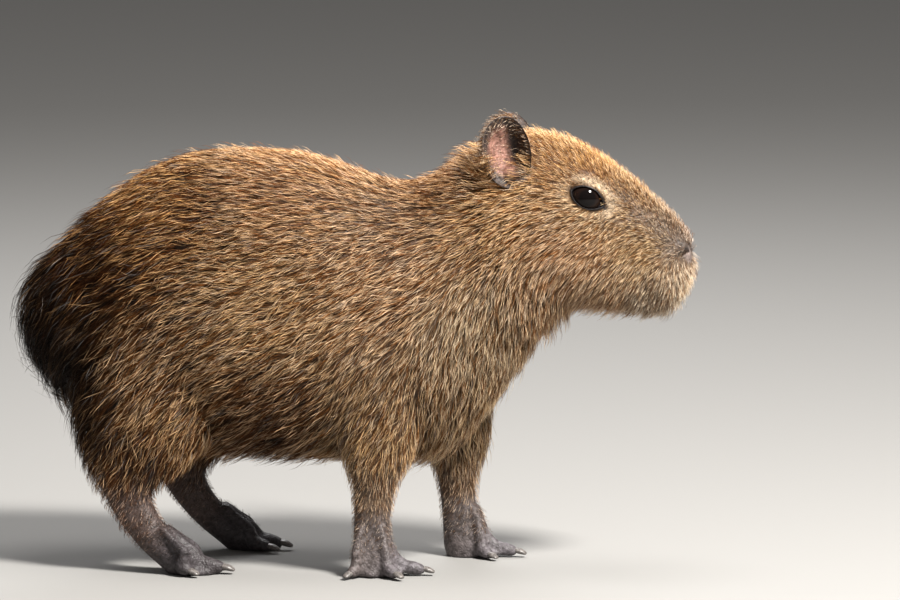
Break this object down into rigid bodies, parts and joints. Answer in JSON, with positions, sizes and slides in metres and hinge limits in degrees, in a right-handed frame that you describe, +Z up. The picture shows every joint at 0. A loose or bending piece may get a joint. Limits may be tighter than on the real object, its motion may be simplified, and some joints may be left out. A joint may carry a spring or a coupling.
{
  "type": "young capybara, still life-size model",
  "caption": "Still life-size young capybara standing square on all its feet, with a bristly coat, small round ears, blunt muzzle and partly webbed paws.",
  "frame": {"origin": "on the floor, under the middle of the model's length and width", "axes": "+X forwards to the nose, +Y to the animal's left, +Z up"},
  "size_m": [0.4056, 0.1274, 0.2756],
  "materials": {
    "coat": "coarse golden-brown bristly fur, dark brown at the roots and rump",
    "ear_skin": "thin pinkish-brown skin with sparse grey-brown hair",
    "paw_skin": "dark grey-brown wrinkled skin with short sparse hair",
    "claw_horn": "dark blunt horn, slightly glossy",
    "eyeball": "wet, near-black brown iris"
  },
  "bodies": {
    "root": {"torso": "coat", "neck": "coat", "head": "coat", "claw_hind_right_inner": "claw_horn", "claw_hind_right_middle": "claw_horn", "claw_hind_right_outer": "claw_horn", "hind_paw_right": "paw_skin", "hock_leg_right": "coat", "thigh_right": "coat", "claw_hind_left_inner": "claw_horn", "claw_hind_left_middle": "claw_horn", "claw_hind_left_outer": "claw_horn", "hind_paw_left": "paw_skin", "hock_leg_left": "coat", "thigh_left": "coat", "claw_fore_right_first": "claw_horn", "claw_fore_right_second": "claw_horn", "claw_fore_right_third": "claw_horn", "claw_fore_right_fourth": "claw_horn", "forepaw_right": "paw_skin", "forearm_right": "coat", "upper_foreleg_right": "coat", "claw_fore_left_first": "claw_horn", "claw_fore_left_second": "claw_horn", "claw_fore_left_third": "claw_horn", "claw_fore_left_fourth": "claw_horn", "forepaw_left": "paw_skin", "forearm_left": "coat", "upper_foreleg_left": "coat", "ear_right": "ear_skin", "ear_left": "ear_skin", "eye_right": "eyeball", "eye_left": "eyeball"}
  },
  "joints": []
}
